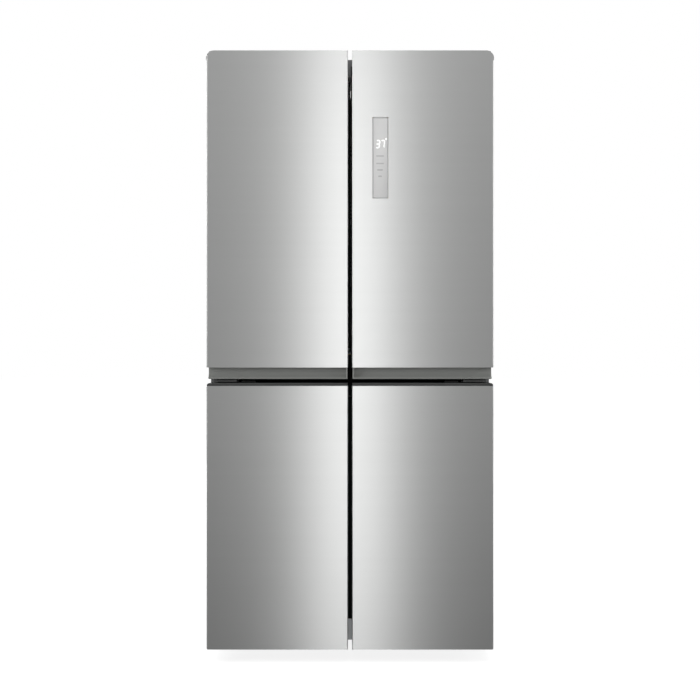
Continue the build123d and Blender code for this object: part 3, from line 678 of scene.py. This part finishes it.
def control_panel():
    """Flush panel: a darker rounded frame, a lighter face, and raised printed marks."""
    low, high = node_box("control_panel")
    body = "right_upper_door"
    front = low[1]
    frame_section = (
        (0, high[1]), (0, front + 0.5), (0.4, front), (2.6, front), (3.0, front + 0.5),
        (3.0, high[1]),
    )
    piece("control_panel_frame", body, "panel_face", [
        tray((low[0], low[2]), (high[0], high[2]), 4.5, frame_section, "y", looped=True)],
        ["control_panel"], finish=PANEL_FRAME)
    piece("control_panel_face", body, "panel_face", [
        slab((low[0] + 2.8, front + 0.3, low[2] + 2.8),
             (high[0] - 2.8, high[1], high[2] - 2.8), 1.8, 0.2, "y")])
    digits = []
    for start, lit in ((low[0] + 9.2, "abgcd"), (low[0] + 22.4, "abc")):
        for name in lit:
            tips = [(start + x + z * DIGIT_LEAN, high[2] - 84 + z) for x, z in SEGMENTS[name]]
            digits.append(stroke(tips, 1.15, front))
    ring = [circle((low[0] + 37.4, high[2] - 60.2), r, 20) for r in (2.5, 2.5, 1.2, 1.2)]
    depths = (front + 0.4, front + 0.1, front + 0.1, front + 0.4)
    digits.append(shell(placed(ring, depths, "y"), looped=True))
    piece("control_panel_digits", body, "panel_face", digits, finish=LIT_MARK)
    middle = low[0] + 20.5
    for name, finish, marks in (
        ("control_panel_labels", DARK_MARK, LABELS),
        ("control_panel_faint_labels", FAINT_MARK, FAINT_LABELS),
    ):
        shapes = []
        for drop, half, tall in marks:
            z = high[2] - drop
            near = (middle - half, front + 0.1, z - tall / 2)
            far = (middle + half, front + 0.5, z + tall / 2)
            shapes.append(slab(near, far, tall * 0.49, 0.08, "y"))
        piece(name, body, "panel_face", shapes, finish=finish)


def stroke(tips, half_width, front):
    """One bar of a digit: a hexagon about the line between two tips, with a small gap."""
    start, end = (np.array(tip, float) for tip in tips)
    along = (end - start) / np.linalg.norm(end - start)
    across = np.array([-along[1], along[0]]) * half_width
    start, end = start + along * 0.7, end - along * 0.7
    point = along * half_width
    outline = np.array([start, start + point + across, end - point + across, end,
                        end - point - across, start + point - across])
    return shell(placed([outline, outline], (front + 0.4, front + 0.1), "y"))


control_panel()


# Folding flap ----------------------------------------------------------------------------

def flap_catch():
    """Small grey guide on the front of the flap, near its top, with a shorter one below."""
    low, high = node_box("mullion_flap")
    shapes = [slab((-5.2, low[1] - 1.8, z), (0.2, low[1] + 1, z + tall), 1.6, 0.6, "y")
              for z, tall in ((1594, 20), (1577, 14))]
    piece("mullion_flap_guide", "mullion_flap", "trim_plastic", shapes, finish=DARK_TRIM)
    strip = ((-20, low[1] + 0.4), (-19, low[1] - 0.5), (-12, low[1] - 0.5), (-11, low[1] + 0.4))
    piece("mullion_flap_strip", "mullion_flap", "flap_paint",
          [drawn(strip, (low[2] + 20, high[2] - 20), "z")])


flap_catch()


# Inside the cabinet ----------------------------------------------------------------------

def shelf_trims():
    """Rounded edge mouldings along the front and the back of each glass shelf."""
    low, high = node_box("glass_shelves")
    shapes = []
    for bottom in SHELF_LEVELS:
        top = bottom + SHELF_THICK
        front = (
            (low[1] + 9, bottom - 1.6), (low[1] + 1, bottom - 2.2), (low[1] - 1.6, bottom - 1),
            (low[1] - 3, bottom + 2), (low[1] - 2.2, top + 0.8), (low[1], top + 1.8),
            (low[1] + 9, top + 1.4),
        )
        back = (
            (high[1] - 7, bottom - 1.2), (high[1] + 1.4, bottom - 1.2), (high[1] + 2.2, bottom),
            (high[1] + 2.2, top + 11), (high[1] + 1, top + 12), (high[1] - 0.6, top + 11),
            (high[1] - 1, top + 2), (high[1] - 7, top + 1.2),
        )
        shapes.append(drawn(front, (low[0] + 8, high[0] - 8), "x"))
        shapes.append(drawn(back, (low[0] + 8, high[0] - 8), "x"))
    piece("shelf_edge_mouldings", "root", "drawer_plastic", shapes)


def air_duct():
    """Raised duct on the back wall of the upper compartment, with a ladder of hooded slots. Under
    each hood a thin dark strip is painted shade where the open slot would be; no hole is cut.
    """
    low, high = node_box("fridge_liner")
    wall = high[1] - 2
    section = ((0, wall + 0.5), (0, wall - 1), (2, wall - 6), (3.2, wall - 8.4),
               (6, wall - 9.6), (30, wall - 9.8))
    shapes = [tray((-95, 1078), (95, 1612), 20, section, "y")]
    slot_shade_strips = []
    for base in (1120, 1305, 1490):
        for step in range(5):
            z = base + step * 13
            hood = ((wall - 9, z), (wall - 12.5, z + 0.6), (wall - 14.2, z + 2.2),
                    (wall - 13, z + 4.2), (wall - 9, z + 6.4))
            shapes.append(drawn(hood, (-62, 62), "x"))
            # A thin dark strip under the hood: painted shade where the open slot would be, with no
            # hole behind it.
            painted_opening = ((wall - 9.4, z - 3.2), (wall - 10.3, z - 3), (wall - 10.3, z + 0.2),
                     (wall - 9.4, z + 0.4))
            slot_shade_strips.append(drawn(painted_opening, (-58, 58), "x"))
    piece("fridge_air_duct", "root", "liner_plastic", shapes)
    # The dark strips are painted shade for the open slots under the hoods.
    piece("fridge_duct_slot_shade", "root", "trim_plastic", slot_shade_strips)


def wall_ribs():
    """Soft vertical ribs on the side walls of the upper compartment, between the rails."""
    shapes = []
    for side in (-1, 1):
        for low, high in ((1070, 1226), (1254, 1416), (1444, 1610)):
            for y in range(-100, 220, 40):
                x = side * SIDE_WALL
                outline = ((x, y - 7), (x - side * 1.6, y - 4), (x - side * 2.2, y),
                           (x - side * 1.6, y + 4), (x, y + 7), (x + side * 0.5, y))
                shapes.append(drawn(outline, (low, high), "z"))
    piece("fridge_wall_ribs", "root", "liner_plastic", shapes)


def fan_guard():
    """Grille over the freezer's fan: three rings and eight spokes round a cap."""
    y = node_box("evaporator_cover")[0][1]
    shapes = []
    for radius in (14, 23, 32):
        outlines = [circle(FAN_CENTRE, radius + part, 48) for part in (-1.4, 1.4, 1.4, -1.4)]
        heights = (y - 3, y - 3, y - 0.2, y - 0.2)
        shapes.append(shell(placed(outlines, heights, "y"), looped=True))
    for step in range(8):
        turn = step * math.pi / 4
        along = np.array([math.cos(turn), math.sin(turn)])
        across = np.array([-along[1], along[0]]) * 1.2
        start, end = along * 4 + FAN_CENTRE, along * 33 + FAN_CENTRE
        outline = np.array([start - across, end - across, end + across, start + across])
        shapes.append(shell(placed([outline, outline], (y - 2.6, y - 0.4), "y")))
    cap = ((8, y - 0.2), (8, y - 2.6), (7, y - 3.8), (3, y - 4.4))
    shapes.append(turned(FAN_CENTRE, cap, "y", 32))
    piece("evaporator_fan_guard", "root", "liner_plastic", shapes)


def lamp_frame():
    """Bezel round the ceiling lamp."""
    low, high = node_box("ceiling_light")
    section = ((-4, high[2] - 0.1), (-4, high[2] - 1.4), (-3, high[2] - 2.4),
               (0.3, high[2] - 3), (0.3, high[2] - 0.1))
    piece("ceiling_light_bezel", "root", "liner_plastic",
          [tray(low[:2], high[:2], 12, section, "z", looped=True)])


shelf_trims()
air_duct()
wall_ribs()
fan_guard()
lamp_frame()


# Outside of the cabinet ------------------------------------------------------------------

def back_panel():
    """Sheet with three tall pressings.

    Its height field is flat, plus a pad wherever a smooth step along x and a smooth step
    along z are both one.
    """
    low, high = node_box("back_panel")
    base = high[1] - 2.4
    across = np.linspace(low[0], high[0], 197)
    up = np.linspace(low[2], high[2], 221)
    x, z = np.meshgrid(across, up, indexing="ij")
    rise = np.zeros_like(x)
    for middle in (-260, 0, 260):
        side = np.clip((74 - np.abs(x - middle)) / 9, 0, 1)
        ends = np.clip((np.minimum(z - low[2] - 78, 1604 - z)) / 9, 0, 1)
        both = np.minimum(side, ends)
        rise = np.maximum(rise, both * both * (3 - 2 * both))
    front = np.stack([x, base + 2.4 * rise, z], axis=-1)
    rear = front[:, ::-1].copy()
    rear[..., 1] -= 1.1
    rear[..., 1] = np.minimum(rear[..., 1], base - 1.1)
    piece("back_panel_pressing", "root", "galvanised",
          [shell(np.concatenate([front, rear], axis=1))], ["back_panel"])


def screw_heads():
    """Screw heads where the CAD has them: hinge plates, back panel and machine cover."""
    deck = node_box("back_panel", "machine_cover")[1][1] - 2.4
    top = node_box("top_hinge_brackets")[1][2]
    face = node_box("middle_hinge_brackets")[1][1] - 3.2
    shapes = []
    for side in (-1, 1):
        for x in (333, 368):
            shapes.append(screw_head(side * x, -215, top + 0.1, 4.6, 2.6, "z"))
        for x in (330, 345, 360):
            shapes.append(screw_head(side * x, face, 808, 4, 2.2, -1))
        for z in (60, 180, 300, 480, 800, 1120, 1440, 1660):
            y = deck - 1 if z < MACHINE_TOP else deck
            shapes.append(screw_head(side * 385, y, z, 4.2, 2.4, 1))
    piece("screw_heads", "root", "zinc", shapes, ["screws"])


def louvre_hoods():
    """Rolled upper lip over each slot of the machine cover."""
    back = node_box("machine_cover")[1][1]
    shapes = []
    for column in range(24):
        x = -330 + column * 24
        lip = ((x - 1.6, back - 0.2), (x - 0.6, back + 1.2), (x + 1, back + 1.6),
               (x + 1.4, back + 0.6), (x + 0.1, back - 0.2))
        shapes.append(drawn(lip, (110, 250), "z"))
    piece("machine_cover_lips", "root", "galvanised", shapes)


def levelling_feet():
    """Turned feet: a grooved pad, a hexagon for the spanner, and a threaded stud."""
    low, high = node_box("leveling_feet")
    y = (low[1] + high[1]) / 2
    shapes = []
    for x in STANDS:
        pad = ((19, 0), (20, 0.8), (20, 3), (19.2, 3.6), (20, 4.2), (19.6, 7), (17, 10.5),
               (15, 12), (8, 12.6))
        shapes.append(turned((x, y), pad, "z", 48))
        shapes.append(turned((x, y), ((9.6, 12), (10.4, 12.8), (10.4, 17), (9.6, 17.8)), "z", 6))
        thread = [(4.9 if step % 2 else 4.1, 17 + step * 0.75) for step in range(39)]
        shapes.append(turned((x, y), thread, "z", 24))
    piece("leveling_feet_turned", "root", "black_enamel", shapes, ["leveling_feet"])


def rollers():
    """Rear rollers: a crowned tread with a recessed hub on each side, on a steel axle."""
    low, high = node_box("rear_roller_axle")
    centre = ((low[1] + high[1]) / 2, (low[2] + high[2]) / 2)
    reach = (high[2] - low[2]) / 2
    wheels = []
    for x in STANDS:
        tread = (
            (4, x - 14), (9, x - 14), (9, x - 9.5), (16, x - 9.5), (17, x - 12),
            (19, x - 12), (reach - 0.5, x - 10.4), (reach, x - 8), (reach, x + 8),
            (reach - 0.5, x + 10.4), (19, x + 12), (17, x + 12), (16, x + 9.5), (9, x + 9.5),
            (9, x + 14), (4, x + 14),
        )
        wheels.append(turned(centre, tread, "x", 56))
    piece("rear_roller_wheels", "rear_roller_axle", "roller_plastic", wheels,
          ["rear_roller_axle"])
    rod = ((3, low[0]), (4, low[0] + 1), (4, high[0] - 1), (3, high[0]))
    piece("rear_roller_rod", "rear_roller_axle", "zinc", [turned(centre, rod, "x", 32)])


back_panel()
screw_heads()
louvre_hoods()
levelling_feet()
rollers()


# Camera, light and floor -----------------------------------------------------------------

door_low = np.array(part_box("left_lower_door_skin")[0])
door_high = np.array(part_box("right_upper_door_skin")[1])
door_front = door_low[1]
eye_height = (door_low[2] + door_high[2]) / 2
EYE_DISTANCE = 3.0
FLOOR_GLOW = 0.83
FLOOR_REACH = 30.0


def add_camera():
    """A level camera facing the doors at half their height."""
    data = bpy.data.cameras.new("front_camera")
    data.lens = 55.8
    data.sensor_width = 36
    camera = bpy.data.objects.new("front_camera", data)
    camera.location = (0, door_front - EYE_DISTANCE, eye_height)
    camera.rotation_euler = (math.pi / 2, 0, 0)
    bpy.context.collection.objects.link(camera)
    bpy.context.scene.camera = camera


def add_area(name, place, aim, size, power):
    """A rectangular soft light at a place, turned to face a point."""
    data = bpy.data.lights.new(name, "AREA")
    data.shape = "RECTANGLE"
    data.size, data.size_y = size
    data.energy = power
    light = bpy.data.objects.new(name, data)
    light.location = place
    light.visible_camera = False
    direction = np.array(aim, float) - np.array(place, float)
    level = math.hypot(direction[0], direction[1])
    light.rotation_euler = (
        math.pi / 2 + math.atan2(direction[2], level),
        0,
        math.atan2(direction[1], direction[0]) - math.pi / 2,
    )
    bpy.context.collection.objects.link(light)


def set_world(seen, cast, under):
    """White for the eye, and a soft grey for light and reflections.

    The grey falls off towards the floor in front, where the doors reflect it, and far out to
    both sides.
    """
    world = bpy.data.worlds.new("studio_world")
    bpy.context.scene.world = world
    world.use_nodes = True
    graph = Graph(world.node_tree)
    way = graph.node("ShaderNodeTexCoord", out="Generated")
    x, y, z = (graph.node("ShaderNodeSeparateXYZ", {}, {0: way}, out=axis) for axis in "XYZ")
    aside = x.maths("ABSOLUTE", x)
    front = y.eased(0.0, 0.3, under, cast)
    ahead = aside.eased(0.3, 0.5, front, cast)
    level = z.eased(-0.32, -0.12, ahead, cast)
    level = aside.eased(0.72, 0.95, level, cast * 0.4)
    eye = graph.node("ShaderNodeLightPath", out="Is Camera Ray")
    values = {"Color": grey(1.0), "Strength": eye.eased(0, 1, level, seen)}
    output = graph.tree.nodes.new("ShaderNodeOutputWorld").inputs["Surface"]
    graph.put(output, graph.node("ShaderNodeBackground", {}, values))


def add_floor():
    """A wide pale floor that reads as white and bounces a softer grey."""
    paint = Paint("pale_studio_floor")
    grain = paint.noise((3, 3, 3), 3)
    paint.set(Base_Color=paint.mixed(grain, grey(0.33), grey(0.36)), Roughness=0.8)
    bright = paint.node("ShaderNodeEmission", {}, {"Strength": FLOOR_GLOW})
    lit = paint.node("ShaderNodeAddShader", {}, {0: paint.surface, 1: bright})
    eye = paint.node("ShaderNodeLightPath", out="Is Camera Ray")
    picked = paint.node("ShaderNodeMixShader", {}, {0: eye, 1: paint.surface, 2: lit})
    paint.put(paint.output, picked)
    mesh = bpy.data.meshes.new("studio_floor")
    corners = [(x * FLOOR_REACH, y * FLOOR_REACH, 0) for x, y in ((-1, -1), (1, -1), (1, 1), (-1, 1))]
    mesh.from_pydata(corners, [], [(0, 1, 2, 3)])
    mesh.materials.append(paint.material)
    floor = bpy.data.objects.new("studio_floor", mesh)
    bpy.context.collection.objects.link(floor)
    floor.visible_glossy = False
    floor.visible_shadow = False


add_camera()
set_world(1.0, 0.46, 0.0)
add_floor()
add_area("streak_box", (0, door_front - 4.2, 0.87), (0, door_front, 0.87), (0.42, 5.2), 17)
add_area("top_box", (0, -0.6, 4.2), (0, 0, 0.8), (3.0, 3.0), 70)
add_area("left_box", (-4.2, -2.6, 2.2), (0, 0, 0.8), (1.6, 3.0), 90)
add_area("right_box", (4.6, -1.8, 1.8), (0, 0, 0.8), (1.6, 3.0), 70)
add_area("rear_box", (-1.5, 4.5, 2.4), (0, 0, 0.8), (2.4, 3.0), 80)
bpy.context.scene.view_settings.view_transform = "Standard"
